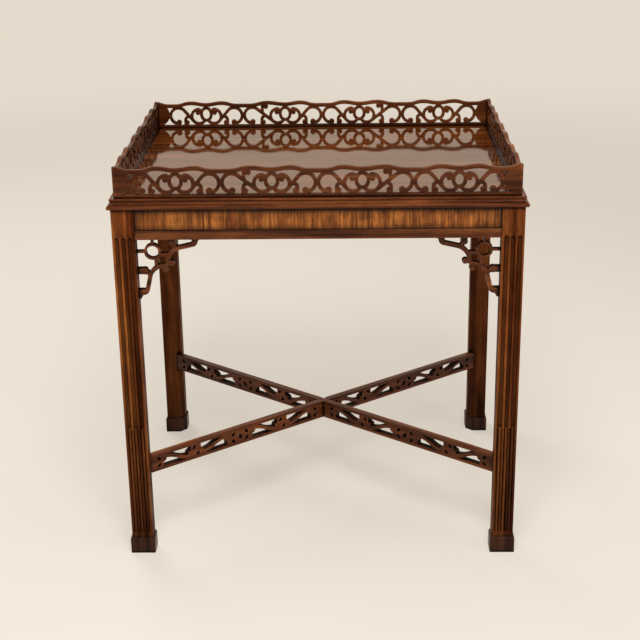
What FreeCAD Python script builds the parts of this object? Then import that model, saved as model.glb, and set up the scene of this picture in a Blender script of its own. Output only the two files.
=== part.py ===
"""Tray-top serving table in mahogany.

A veneered tray top with a pierced, wavy gallery stands on four square legs with fluted outer
faces and block feet. Tenoned aprons join the legs, fret brackets fill the corners under them, and
two pierced stretchers cross below, halved into each other.

Frame: millimetres, +Z up, origin on the floor under the middle of the table, front towards -Y.
"""
import FreeCAD, Part
import math
import os
import re
import Sketcher
from FreeCAD import Placement, Rotation, Vector

SIZES = (
    # Whole table, measured over the outer faces of the legs, and the underside of the top
    ("table_width", 710),
    ("table_depth", 553),
    ("leg_top", 670),
    # Fits: play round a tenon, play at its end, and how far fret strands run into each other
    ("joint_play", 0.1),
    ("tenon_end_play", 1),
    ("fret_lap", 0.5),
    # Legs: square, with the inner corner planed off
    ("leg_side", 39),
    ("leg_chamfer", 12),
    # Three flutes on each outer face; the lower part of each is filled by a reed
    ("flute_spacing", 11.4),
    ("flute_radius", 4.2),
    ("flute_depth", 3),
    ("flute_top", 620),
    ("flute_change", 255),
    ("reed_foot", 43),
    ("reed_groove_radius", 1.3),
    # Block feet on stub tenons
    ("foot_height", 33),
    ("foot_step", 3.2),
    ("foot_bevel", 3),
    ("foot_tenon_side", 18),
    ("foot_tenon_length", 16),
    # Aprons, their veneer and the plain strip below it
    ("apron_height", 55),
    ("apron_thickness", 18),
    ("apron_setback", 4.5),
    ("apron_tenon_length", 14),
    ("apron_tenon_thickness", 8),
    ("apron_tenon_shoulder", 9),
    ("veneer_thickness", 1.5),
    ("strip_height", 17),
    ("strip_thickness", 3),
    # Top board and the moulding planted on its edges: a fillet, a cove and a bead
    ("top_thickness", 19),
    ("top_inset", 3),
    ("moulding_fillet_reach", 4),
    ("moulding_fillet_height", 3),
    ("moulding_cove_depth", 2),
    ("moulding_bead_reach", 9),
    ("moulding_bead_radius", 4.25),
    # Glue blocks in the corners and the screws that hold the top
    ("block_height", 28),
    ("block_reach", 60),
    ("screw_spread", 20),
    ("screw_radius", 2),
    ("screw_length", 38),
    ("screw_head_radius", 4),
    ("screw_head_height", 2.6),
    ("screw_slot_width", 1),
    ("screw_slot_depth", 1.2),
    # Gallery boards, on a tongue in the top
    ("gallery_inset", 6),
    ("gallery_height", 55),
    ("gallery_thickness", 7),
    ("tongue_thickness", 3),
    ("tongue_depth", 4),
    # Gallery fret: rails, wavy top edge and scrolls; turns are in degrees, and the branch leaves its
    # strand at a share of the way up
    ("gallery_low_rail", 6),
    ("gallery_high_rail", 7.5),
    ("wave_joint_drop", 5.5),
    ("wave_oval_drop", 3.5),
    ("wave_joint_flat", 13),
    ("gallery_end_flat", 15),
    ("gallery_end_reach", 30),
    ("scroll_length", 78.3),
    ("scroll_branch_extra", 10.2),
    ("scroll_strand", 6.2),
    ("scroll_radius", 15),
    ("scroll_joint_radius", 16.5),
    ("scroll_offset", 15.5),
    ("scroll_neck", 8),
    ("scroll_ring_turn", 135),
    ("scroll_joint_turn", 75),
    ("oval_half_width", 7.2),
    ("oval_half_height", 9.8),
    ("oval_rise", 4.6),
    ("horn_turn", 95),
    ("horn_bulb", 4.5),
    ("horn_bulb_offset", 2),
    ("horn_bulb_rise", 7.5),
    ("foot_bulb", 5.6),
    ("hook_bulb", 5),
    ("hook_radius", 7.5),
    ("hook_rise", 10),
    ("hook_turn", 80),
    ("branch_share", 0.68),
    ("branch_bulb", 4.8),
    ("branch_offset", 7.5),
    # Fret brackets under the aprons
    ("bracket_thickness", 12),
    ("bracket_setback", 8.5),
    ("bracket_reach", 114.5),
    ("bracket_rise", 3.5),
    ("bracket_strand", 7.4),
    ("bracket_ring_centre", 28),
    ("bracket_ring_radius", 12.6),
    ("bracket_ring_width", 4.2),
    ("bracket_tie", 33.5),
    ("bracket_tie_width", 6),
    ("bracket_bend_radius", 27.8),
    ("bracket_bend_reach", 81.3),
    ("bracket_bend_drop", 48.2),
    ("bracket_bulb", 5.2),
    ("bracket_cusp_reach", 61),
    ("bracket_cusp_drop", 48.5),
    ("bracket_ear_reach", 63.3),
    ("bracket_ear_drop", 12.5),
    ("bracket_ear_radius", 6.3),
    ("bracket_ear_width", 11.5),
    ("bracket_neck_turn", 115),
    ("bracket_toe_depth", 18.8),
    ("bracket_toe_length", 17.5),
    ("bracket_nose_length", 7),
    ("bracket_nose_depth", 8.4),
    ("bracket_tongue_length", 12),
    # Cross stretchers
    ("stretcher_bottom", 151),
    ("stretcher_height", 35),
    ("stretcher_thickness", 14),
    ("stretcher_tenon_length", 14),
    ("stretcher_tenon_thickness", 7),
    ("stretcher_tenon_height", 23),
    # Stretcher fret: openings with an S-shaped strand across them, curls with eyes, and a rosette
    ("stretcher_rail", 6),
    ("stretcher_strand", 6.8),
    ("stretcher_plain_middle", 36),
    ("stretcher_plain_end", 29),
    ("stretcher_curl", 22),
    ("stretcher_lobe_radius", 6.5),
    ("stretcher_lobe_rise", 4),
    ("stretcher_eye_length", 10),
    ("stretcher_eye_width", 5.4),
    ("stretcher_eye_tilt", 48),
    ("stretcher_eye_spread", 4),
    ("stretcher_end_eye", 9.5),
    ("stretcher_rosette", 58),
    ("rosette_eye_spread", 15),
    ("rosette_eye_rise", 7),
    ("rosette_leaf_height", 14),
    ("rosette_leaf_width", 7),
    ("rosette_leaf_tilt", 32),
)

# Each side of the table: its name, its turn about Z, the size along it and the size across it
SIDES = (
    ("front", 0, "table_width", "table_depth"),
    ("right", 90, "table_depth", "table_width"),
    ("back", 180, "table_width", "table_depth"),
    ("left", 270, "table_depth", "table_width"),
)

# Each corner: its name, its turn about Z and its place left or right, front or back
CORNERS = (
    ("front_left", 0, -1, -1),
    ("front_right", 90, 1, -1),
    ("back_right", 180, 1, 1),
    ("back_left", 270, -1, 1),
)

UPWARDS = Vector(0, 0, 1)

doc = FreeCAD.newDocument("serving_table")
sheet = doc.addObject("Spreadsheet::Sheet", "sizes")
for row, (alias, value) in enumerate(SIZES, 1):
    sheet.set(f"A{row}", alias)
    sheet.set(f"B{row}", str(value))
    sheet.setAlias(f"B{row}", alias)
doc.recompute()

pieces = []


def size(alias):
    """Value of one cell of the sheet."""
    return float(sheet.get(alias))


def bound(text):
    """The text of an expression with each size name pointed at its cell."""
    return re.sub(r"[a-z]+(?:_[a-z]+)+", lambda found: "sizes." + found.group(0), text)


def bind(item, **values):
    """Bind properties of an object to expressions; double underscores stand for dots."""
    for name, text in values.items():
        item.setExpression(name.replace("__", "."), bound(text))


def keep(item, name):
    """Name a finished piece and list it for export."""
    item.Label = name
    pieces.append(item)


def seat(item, turn, along_x, along_y, height="0"):
    """Place an object at bound coordinates, turned about the vertical."""
    item.Placement = Placement(Vector(), Rotation(UPWARDS, turn))
    bind(item, Placement__Base__x=along_x, Placement__Base__y=along_y, Placement__Base__z=height)


def seat_on_side(item, turn, outward, height="0", along="0"):
    """Place an object on one side of the table: x along the side, +y inwards from the plane."""
    sine = round(math.sin(math.radians(turn)))
    cosine = round(math.cos(math.radians(turn)))
    seat(item, turn, f"({outward}) * {sine} + ({along}) * {cosine}",
         f"({outward}) * {-cosine} + ({along}) * {sine}", height)


def seat_at_corner(item, turn, right, back):
    """Place an object on a leg's axis, turned so that the leg's outer faces are at -x and -y."""
    seat(item, turn, f"{right} * (table_width - leg_side) / 2", f"{back} * (table_depth - leg_side) / 2")


def block(name, start, extent, turn=0):
    """A box from three bound coordinates and three bound lengths."""
    box = doc.addObject("Part::Box", name)
    bind(box, Length=extent[0], Width=extent[1], Height=extent[2])
    seat(box, turn, *start)
    return box


def rod(name, start, radius, height):
    """An upright cylinder with bound place, radius and height."""
    cylinder = doc.addObject("Part::Cylinder", name)
    bind(cylinder, Radius=radius, Height=height)
    seat(cylinder, 0, *start)
    return cylinder


def ball(name, centre, radius):
    """A sphere with bound place and radius."""
    sphere = doc.addObject("Part::Sphere", name)
    bind(sphere, Radius=radius)
    seat(sphere, 0, *centre)
    return sphere


def join(name, items):
    """One solid from several."""
    fused = doc.addObject("Part::MultiFuse", name)
    fused.Shapes = items
    return fused


def cut(name, base, tool):
    """A solid with another taken out of it."""
    left = doc.addObject("Part::Cut", name)
    left.Base = base
    left.Tool = tool
    return left


def polygon(body, name, corners, lift):
    """A closed sketch in a plane above the floor, each corner bound to the sheet."""
    sketch = body.newObject("Sketcher::SketchObject", name)
    plane = [item for item in body.Origin.OriginFeatures if item.Role == "XY_Plane"][0]
    sketch.AttachmentSupport = [(plane, "")]
    sketch.MapMode = "FlatFace"
    bind(sketch, AttachmentOffset__Base__z=lift)
    spots = []
    for across, along in corners:
        spots.append(Vector(sheet.evalExpression(bound(across)), sheet.evalExpression(bound(along)), 0))
    count = len(spots)
    for index in range(count):
        sketch.addGeometry(Part.LineSegment(spots[index], spots[(index + 1) % count]))
    for index in range(count):
        sketch.addConstraint(Sketcher.Constraint("Coincident", index, 2, (index + 1) % count, 1))
    for index, (across, along) in enumerate(corners):
        corner = spots[index]
        for kind, text, value in (("DistanceX", across, corner.x), ("DistanceY", along, corner.y)):
            number = sketch.addConstraint(Sketcher.Constraint(kind, -1, 1, index, 1, value))
            sketch.setExpression(f"Constraints[{number}]", bound(text))
    return sketch


def square_corners(half):
    """Corners of a square about the origin."""
    return ((f"-({half})", f"-({half})"), (half, f"-({half})"), (half, half), (f"-({half})", half))


def pad(body, name, sketch, length):
    """Raise a sketch into a solid."""
    feature = body.newObject("PartDesign::Pad", name)
    feature.Profile = sketch
    bind(feature, Length=length)
    return feature


def pocket(body, name, sketch, depth):
    """Cut a sketch downwards into the body."""
    feature = body.newObject("PartDesign::Pocket", name)
    feature.Profile = sketch
    bind(feature, Length=depth)
    return feature


def stretcher_course():
    """Turn of the stretcher that runs from front left to back right, and half its length.

    It runs from the middle of one leg's planed inner corner to the middle of the opposite one.
    """
    inward = (size("leg_side") + size("leg_side") - size("leg_chamfer")) / 2
    across = size("table_width") / 2 - inward
    along = size("table_depth") / 2 - inward
    return math.degrees(math.atan2(along, across)), math.hypot(across, along)


def make_legs():
    """Four legs: square, mortised for the aprons and stretchers, fluted on two faces."""
    shaft = block("leg_shaft", ("-leg_side / 2", "-leg_side / 2", "foot_height"),
                  ("leg_side", "leg_side", "leg_top - foot_height"))
    stub = block("leg_stub",
                 ("-foot_tenon_side / 2", "-foot_tenon_side / 2", "foot_height - foot_tenon_length"),
                 ("foot_tenon_side", "foot_tenon_side", "foot_tenon_length"))
    blank = join("leg_blank", [shaft, stub])

    # The planed corner: a box turned by 45 degrees whose near face is the chamfer
    planed = block("leg_planed_corner", ("(leg_side - leg_chamfer) / 2 + leg_side / sqrt(2)",
                                         "(leg_side - leg_chamfer) / 2 - leg_side / sqrt(2)", "0"),
                   ("leg_side", "2 * leg_side", "2 * leg_top"), 45)
    cutters = [planed]

    mortise_start = "leg_side / 2 - apron_tenon_length - tenon_end_play"
    mortise_depth = "apron_tenon_length + tenon_end_play + leg_side"
    mortise_side = "apron_setback + (apron_thickness - apron_tenon_thickness) / 2 - leg_side / 2 - joint_play"
    mortise_width = "apron_tenon_thickness + 2 * joint_play"
    mortise_bottom = "leg_top - apron_height + apron_tenon_shoulder - joint_play"
    mortise_height = "apron_height - 2 * apron_tenon_shoulder + 2 * joint_play"
    cutters.append(block("leg_mortise_one", (mortise_start, mortise_side, mortise_bottom),
                         (mortise_depth, mortise_width, mortise_height)))
    cutters.append(block("leg_mortise_two", (mortise_side, mortise_start, mortise_bottom),
                         (mortise_width, mortise_depth, mortise_height)))

    # Flutes are cut by a round-nosed cutter, so each ends in a quarter ball
    axis = "-leg_side / 2 - flute_radius + flute_depth"
    groove_offset = "(sqrt(flute_radius^2 - (flute_radius - flute_depth)^2) - reed_groove_radius)"
    low = "flute_change + flute_radius"
    high = "flute_top - flute_radius"
    straight = "flute_top - flute_change - 2 * flute_radius"
    surface = "-leg_side / 2"
    reed_length = "flute_change - reed_foot"
    for number in (-1, 0, 1):
        across = f"{number} * flute_spacing"
        for face, place in (("front", (across, axis)), ("outer", (axis, across))):
            name = f"flute_{face}_{number + 2}"
            cutters.append(rod(name, (*place, low), "flute_radius", straight))
            cutters.append(ball(name + "_low_end", (*place, low), "flute_radius"))
            cutters.append(ball(name + "_high_end", (*place, high), "flute_radius"))
        for hand in (-1, 1):
            beside = f"{across} + {hand} * {groove_offset}"
            for face, place in (("front", (beside, surface)), ("outer", (surface, beside))):
                name = f"reed_{face}_{number + 2}_{hand + 2}"
                cutters.append(rod(name, (*place, "reed_foot"), "reed_groove_radius", reed_length))
    worked = cut("leg_worked", blank, join("leg_cutters", cutters))

    course, _ = stretcher_course()
    for corner, turn, right, back in CORNERS:
        slope = math.radians(course if right == back else 90 - course)
        inwards = Vector(math.cos(slope), math.sin(slope), 0)
        sideways = Vector(-inwards.y, inwards.x, 0)
        middle = (size("leg_side") - size("leg_chamfer")) / 2
        depth = size("stretcher_tenon_length") + size("tenon_end_play")
        half_width = size("stretcher_tenon_thickness") / 2 + size("joint_play")
        start = Vector(middle, middle, 0) - inwards * depth - sideways * half_width
        shoulder = "(stretcher_height - stretcher_tenon_height) / 2"
        socket = doc.addObject("Part::Box", f"stretcher_socket_{corner}")
        bind(socket, Length="stretcher_tenon_length + tenon_end_play + leg_side",
             Width="stretcher_tenon_thickness + 2 * joint_play",
             Height="stretcher_tenon_height + 2 * joint_play")
        socket.Placement = Placement(start, Rotation(UPWARDS, math.degrees(slope)))
        bind(socket, Placement__Base__z=f"stretcher_bottom + {shoulder} - joint_play")
        leg = cut(f"leg_{corner}_solid", worked, socket)
        seat_at_corner(leg, turn, right, back)
        keep(leg, f"leg_{corner}")


def make_feet():
    """Four block feet, bevelled round the top, each with a mortise for its leg."""
    half = "leg_side / 2 + foot_step"
    planed = f"({half} - leg_chamfer - foot_step * (2 - sqrt(2)))"
    outline = ((f"-({half})", f"-({half})"), (half, f"-({half})"), (half, planed), (planed, half),
               (f"-({half})", half))
    for corner, turn, right, back in CORNERS:
        body = doc.addObject("PartDesign::Body", f"foot_{corner}_body")
        raised = pad(body, "foot_block", polygon(body, "foot_outline", outline, "0"), "foot_height")
        doc.recompute()
        top = max(raised.Shape.Faces, key=lambda face: face.CenterOfMass.z)
        edges = []
        for number, edge in enumerate(raised.Shape.Edges, 1):
            if any(edge.isSame(other) for other in top.Edges):
                edges.append(f"Edge{number}")
        bevel = body.newObject("PartDesign::Chamfer", "foot_top_bevel")
        bevel.Base = (raised, edges)
        bind(bevel, Size="foot_bevel")
        doc.recompute()
        hole = square_corners("foot_tenon_side / 2 + joint_play")
        pocket(body, "foot_mortise", polygon(body, "foot_mortise_outline", hole, "foot_height"),
               "foot_tenon_length + tenon_end_play")
        seat_at_corner(body, turn, right, back)
        keep(body, f"foot_{corner}")


def make_aprons():
    """Four tenoned aprons, each with a veneered face above a plain strip."""
    bottom = "leg_top - apron_height"
    for side, turn, length, depth in SIDES:
        span = f"({length} - 2 * leg_side)"
        rail = block(f"apron_{side}_rail", (f"-{span} / 2", "0", bottom),
                     (span, "apron_thickness", "apron_height"))
        tenon = block(f"apron_{side}_tenons",
                      (f"-{span} / 2 - apron_tenon_length", "(apron_thickness - apron_tenon_thickness) / 2",
                       f"{bottom} + apron_tenon_shoulder"),
                      (f"{span} + 2 * apron_tenon_length", "apron_tenon_thickness",
                       "apron_height - 2 * apron_tenon_shoulder"))
        grooves = []
        inward = "bracket_setback - strip_thickness + (bracket_thickness - tongue_thickness) / 2 - joint_play"
        for hand in (-1, 1):
            middle = f"{hand} * ({span} / 2 - bracket_reach + bracket_toe_length / 2)"
            grooves.append(block(f"apron_{side}_groove_{hand + 2}",
                                 (f"{middle} - bracket_tongue_length / 2 - joint_play", inward,
                                  f"{bottom} - tongue_depth"),
                                 ("bracket_tongue_length + 2 * joint_play",
                                  "tongue_thickness + 2 * joint_play",
                                  "2 * tongue_depth + tenon_end_play")))
        apron = cut(f"apron_{side}_solid", join(f"apron_{side}_blank", [rail, tenon]),
                    join(f"apron_{side}_grooves", grooves))
        outward = f"{depth} / 2 - apron_setback"
        seat_on_side(apron, turn, outward)
        keep(apron, f"apron_{side}")

        veneer = doc.addObject("Part::Box", f"apron_veneer_{side}_sheet")
        bind(veneer, Length=span, Width="veneer_thickness", Height="apron_height - strip_height")
        strip = doc.addObject("Part::Box", f"apron_strip_{side}_bar")
        bind(strip, Length=span, Width="strip_thickness", Height="strip_height")
        for item, thickness, height in ((veneer, "veneer_thickness", f"{bottom} + strip_height"),
                                        (strip, "strip_thickness", bottom)):
            seat_on_side(item, turn, f"{outward} + {thickness}", height, f"-{span} / 2")
        keep(veneer, f"apron_veneer_{side}")
        keep(strip, f"apron_strip_{side}")


def screw_spots():
    """Bound places of the top screws: two in each glue block."""
    middle = "(leg_side - leg_chamfer + 2 * apron_setback + 2 * apron_thickness - leg_side + block_reach) / 4"
    spots = []
    for corner, _, right, back in CORNERS:
        for hand in (-1, 1):
            across = f"{right} * ((table_width - leg_side) / 2 - {middle} - {hand} * screw_spread / 2)"
            along = f"{back} * ((table_depth - leg_side) / 2 - {middle} + {hand} * screw_spread / 2)"
            spots.append((corner, hand + 2, across, along))
    return spots


def make_glue_blocks():
    """Four corner blocks behind the legs, and the screws that go up through them into the top."""
    face = "(apron_setback + apron_thickness - leg_side / 2)"
    near = f"leg_side - leg_chamfer - {face}"
    far = f"{face} + block_reach"
    outline = ((near, face), (far, face), (face, far), (face, near))
    bottom = "leg_top - block_height"
    holes = {}
    for corner, number, across, along in screw_spots():
        hole = rod(f"block_hole_{corner}_{number}", (across, along, f"{bottom} - joint_play"),
                   "screw_radius + joint_play", "block_height + 2 * joint_play")
        holes.setdefault(corner, []).append(hole)
    for corner, turn, right, back in CORNERS:
        body = doc.addObject("PartDesign::Body", f"glue_block_{corner}_body")
        pad(body, "block_solid", polygon(body, "block_outline", outline, bottom), "block_height")
        seat_at_corner(body, turn, right, back)
        drilled = cut(f"glue_block_{corner}_drilled", body, join(f"block_holes_{corner}", holes[corner]))
        keep(drilled, f"glue_block_{corner}")

    screws = []
    for corner, number, across, along in screw_spots():
        name = f"{corner}_{number}"
        shank = rod(f"screw_shank_{name}", (across, along, bottom), "screw_radius", "screw_length")
        head = rod(f"screw_head_{name}", (across, along, f"{bottom} - screw_head_height"),
                   "screw_head_radius", "screw_head_height")
        slot = block(f"screw_slot_{name}",
                     (f"{across} - screw_slot_width / 2", f"{along} - 2 * screw_head_radius",
                      f"{bottom} - screw_head_height - screw_slot_depth"),
                     ("screw_slot_width", "4 * screw_head_radius", "2 * screw_slot_depth"))
        screws.append(cut(f"screw_{name}", join(f"screw_blank_{name}", [shank, head]), slot))
    group = doc.addObject("Part::Compound", "top_screw_group")
    group.Links = screws
    keep(group, "top_screws")


def make_top():
    """The top board, grooved for the gallery, and four mitred mouldings round its edge."""
    board = block("top_blank", ("top_inset - table_width / 2", "top_inset - table_depth / 2", "leg_top"),
                  ("table_width - 2 * top_inset", "table_depth - 2 * top_inset", "top_thickness"))
    tools = []
    rings = []
    groove_bottom = "leg_top + top_thickness - tongue_depth - tenon_end_play"
    for name, inward in (("outer", "(gallery_inset + gallery_thickness - tongue_thickness - joint_play)"),
                         ("inner", "(gallery_inset + gallery_thickness + joint_play)")):
        rings.append(block(f"groove_{name}",
                           (f"{inward} - table_width / 2", f"{inward} - table_depth / 2", groove_bottom),
                           (f"table_width - 2 * {inward}", f"table_depth - 2 * {inward}", "top_thickness")))
    tools.append(cut("gallery_groove", *rings))
    pilot = "screw_length - block_height"
    for corner, number, across, along in screw_spots():
        tools.append(rod(f"pilot_{corner}_{number}", (across, along, f"leg_top - ({pilot})"),
                         "screw_radius + joint_play", f"2 * ({pilot}) + tenon_end_play"))
    keep(cut("top_grooved", board, join("top_tools", tools)), "top_board")

    cove_radius = "(top_thickness - moulding_fillet_height - 2 * moulding_bead_radius) / 2"
    bead_out = "moulding_bead_reach - moulding_bead_radius"
    for side, turn, length, depth in SIDES:
        run = f"({length} - 2 * top_inset + 2 * moulding_bead_reach)"
        back = block(f"moulding_{side}_back", (f"-{run} / 2", "-moulding_fillet_reach", "leg_top"),
                     (run, "moulding_fillet_reach", "top_thickness"))
        root = block(f"moulding_{side}_root", (f"-{run} / 2", f"-({bead_out})", "leg_top"),
                     (run, bead_out, "2 * moulding_bead_radius"))
        rounds = []
        for name, radius, out, height in (
                ("bead", "moulding_bead_radius", bead_out, "moulding_bead_radius"),
                ("cove", cove_radius, f"moulding_fillet_reach + {cove_radius} - moulding_cove_depth",
                 f"2 * moulding_bead_radius + {cove_radius}")):
            length_of_round = doc.addObject("Part::Cylinder", f"moulding_{side}_{name}")
            bind(length_of_round, Radius=radius, Height=run)
            length_of_round.Placement = Placement(Vector(), Rotation(Vector(0, 1, 0), 90))
            bind(length_of_round, Placement__Base__x=f"-{run} / 2", Placement__Base__y=f"-({out})",
                 Placement__Base__z=f"leg_top + {height}")
            rounds.append(length_of_round)
        bead, cove = rounds
        corner = f"({length} / 2 - top_inset)"
        tall = (run, run, "2 * leg_top")
        mitres = [block(f"moulding_{side}_mitre_right", (corner, "0", "0"), tall, -45),
                  block(f"moulding_{side}_mitre_left", (f"-{corner}", "0", "0"), tall, 135)]
        moulding = cut(f"moulding_{side}_solid", join(f"moulding_{side}_blank", [back, root, bead]),
                       join(f"moulding_{side}_cuts", [cove] + mitres))
        seat_on_side(moulding, turn, f"{depth} / 2 - top_inset")
        keep(moulding, f"top_moulding_{side}")


def spot(centre, radius, angle):
    """A point at an angle, in degrees, round a centre."""
    return centre + Vector(math.cos(math.radians(angle)), math.sin(math.radians(angle)), 0) * radius


def facing_up(face):
    """A flat face, turned over if it faces down."""
    return face if face.normalAt(0, 0).z > 0 else face.reversed()


def closed_face(edges):
    """A flat face inside edges given in order, facing up."""
    return facing_up(Part.Face(Part.Wire(edges)))


def outline_face(points):
    """A flat face with straight sides."""
    return closed_face(Part.makePolygon([*points, points[0]]).Edges)


def disc(centre, radius):
    """A round face."""
    return Part.Face(Part.Wire(Part.makeCircle(radius, centre)))


def oval(centre, half_width, half_height):
    """An upright oval face."""
    curve = Part.Ellipse(centre + Vector(0, half_height, 0), centre - Vector(half_width, 0, 0), centre)
    return closed_face([curve.toShape()])


def bar(start, end, width):
    """A straight strand."""
    sideways = (end - start).cross(UPWARDS).normalize() * width / 2
    return outline_face([start + sideways, end + sideways, end - sideways, start - sideways])


def arc(start, middle, end):
    """An edge through three points."""
    return Part.Arc(start, middle, end).toShape()


def line(start, end):
    """A straight edge."""
    return Part.LineSegment(start, end).toShape()


def curl(centre, radius, width, first, last):
    """A curved strand from one angle to another, in degrees."""
    outer = [spot(centre, radius + width / 2, angle) for angle in (first, (first + last) / 2, last)]
    inner = [spot(centre, radius - width / 2, angle) for angle in (last, (first + last) / 2, first)]
    return closed_face([arc(*outer), line(outer[2], inner[0]), arc(*inner), line(inner[2], outer[0])])


def reflected(face, normal):
    """A face reflected in a plane through the origin, still facing up."""
    return facing_up(face.mirror(Vector(), normal))


def mirrored(face):
    """A face reflected left to right."""
    return reflected(face, Vector(1, 0, 0))


def merged(faces):
    """One face from faces that overlap in a plane and all face up."""
    whole = faces[0].multiFuse(faces[1:]).removeSplitter().Faces
    if len(whole) != 1:
        raise RuntimeError(f"fret strands came apart into {len(whole)} faces")
    return whole[0]


def moved(face, along):
    """A copy of a face, shifted along x."""
    copy = face.copy()
    copy.translate(Vector(along, 0, 0))
    return copy


def upright(face, thickness):
    """A board cut to a flat outline, stood up with its outer face at y = 0 and the rest inwards."""
    board = face.extrude(Vector(0, 0, -thickness))
    board.rotate(Vector(), Vector(1, 0, 0), 90)
    return board


def one_solid(shape):
    """The single solid that a shape should hold, with needless seams removed."""
    solids = shape.removeSplitter().Solids
    if len(solids) != 1:
        raise RuntimeError(f"a piece came apart into {len(solids)} solids")
    return solids[0]


def swell(start, end):
    """Edges of an S-curve that is level at both ends: two equal arcs."""
    run = end.x - start.x
    rise = end.y - start.y
    if abs(rise) < 1e-9:
        return [line(start, end)]
    radius = (run ** 2 + rise ** 2) / (4 * abs(rise))
    half_turn = math.asin(run / 2 / radius) / 2
    sag = math.copysign(radius * (1 - math.cos(half_turn)), rise)
    reach = radius * math.sin(half_turn)
    middle = (start + end) / 2
    return [arc(start, start + Vector(reach, sag, 0), middle), arc(middle, end - Vector(reach, sag, 0), end)]


def scroll_half(length, branched):
    """Half of one scroll motif, from the middle of its oval at x = 0 to its joint with the next.

    A ring beside the oval ends in a horn above. A strand leaves the bottom of that ring, rises to
    the ring at the joint, and a hook hangs from it. Longer halves carry a branch with a bulb.
    """
    strand = size("scroll_strand")
    radius = size("scroll_radius")
    joint_radius = size("scroll_joint_radius")
    lap = size("fret_lap")
    rail = size("gallery_low_rail")
    under_rail = size("gallery_height") - size("gallery_high_rail")
    ring = Vector(size("scroll_offset"), rail + radius + strand / 2 - lap, 0)
    joint_ring = Vector(length - joint_radius - strand / 2 + lap, rail + joint_radius + strand / 2 - lap, 0)

    # The rising strand is the tangent that crosses between the two rings
    between = joint_ring - ring
    slope = math.degrees(math.atan2(between.y, between.x))
    lean = math.degrees(math.acos((radius + joint_radius) / between.Length))
    low_end = spot(ring, radius, slope - lean)
    high_end = spot(joint_ring, joint_radius, 180 + slope - lean)
    horn_turn = size("horn_turn")
    horn_end = spot(ring, radius, horn_turn)
    horn_bulb = ring + Vector(size("horn_bulb_offset"), size("horn_bulb_rise"), 0)
    faces = [
        curl(ring, radius, strand, -size("scroll_ring_turn"), horn_turn),
        bar(horn_end + Vector(0, strand / 4, 0), horn_bulb - Vector(size("horn_bulb") / 2, 0, 0), strand),
        disc(horn_bulb, size("horn_bulb")),
        bar(low_end, high_end, strand),
        curl(joint_ring, joint_radius, strand, -size("scroll_joint_turn"), 180 + slope - lean),
    ]
    foot_bulb = size("foot_bulb")
    faces.append(disc(Vector(joint_ring.x - lap, rail + foot_bulb - lap, 0), foot_bulb))

    hook_radius = size("hook_radius")
    hook = Vector((ring.x + joint_ring.x) / 2 - lap, rail + size("hook_rise"), 0)
    stem = hook.x + hook_radius
    faces.append(curl(hook, hook_radius, strand, 0, size("hook_turn")))
    faces.append(bar(Vector(stem, rail - lap, 0), Vector(stem, hook.y, 0), strand))
    faces.append(disc(Vector(stem - strand / 2, rail + size("hook_bulb") - lap, 0), size("hook_bulb")))
    if branched:
        bulb = size("branch_bulb")
        top = under_rail + lap
        start = low_end + (high_end - low_end) * size("branch_share")
        foot = Vector(start.x, top - bulb - strand / 2, 0)
        faces.append(bar(start, Vector(start.x, top, 0), strand))
        faces.append(disc(Vector(foot.x - size("branch_offset"), top - bulb, 0), bulb))
        faces.append(bar(Vector(foot.x, top - strand / 2, 0),
                         Vector(foot.x - size("branch_offset"), top - strand / 2, 0), strand))

    neck_top = under_rail - size("wave_joint_drop") + 2 * lap
    faces.append(bar(joint_ring + Vector(0, joint_radius, 0), Vector(joint_ring.x, neck_top, 0),
                     size("scroll_neck")))
    return merged(faces)


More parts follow.
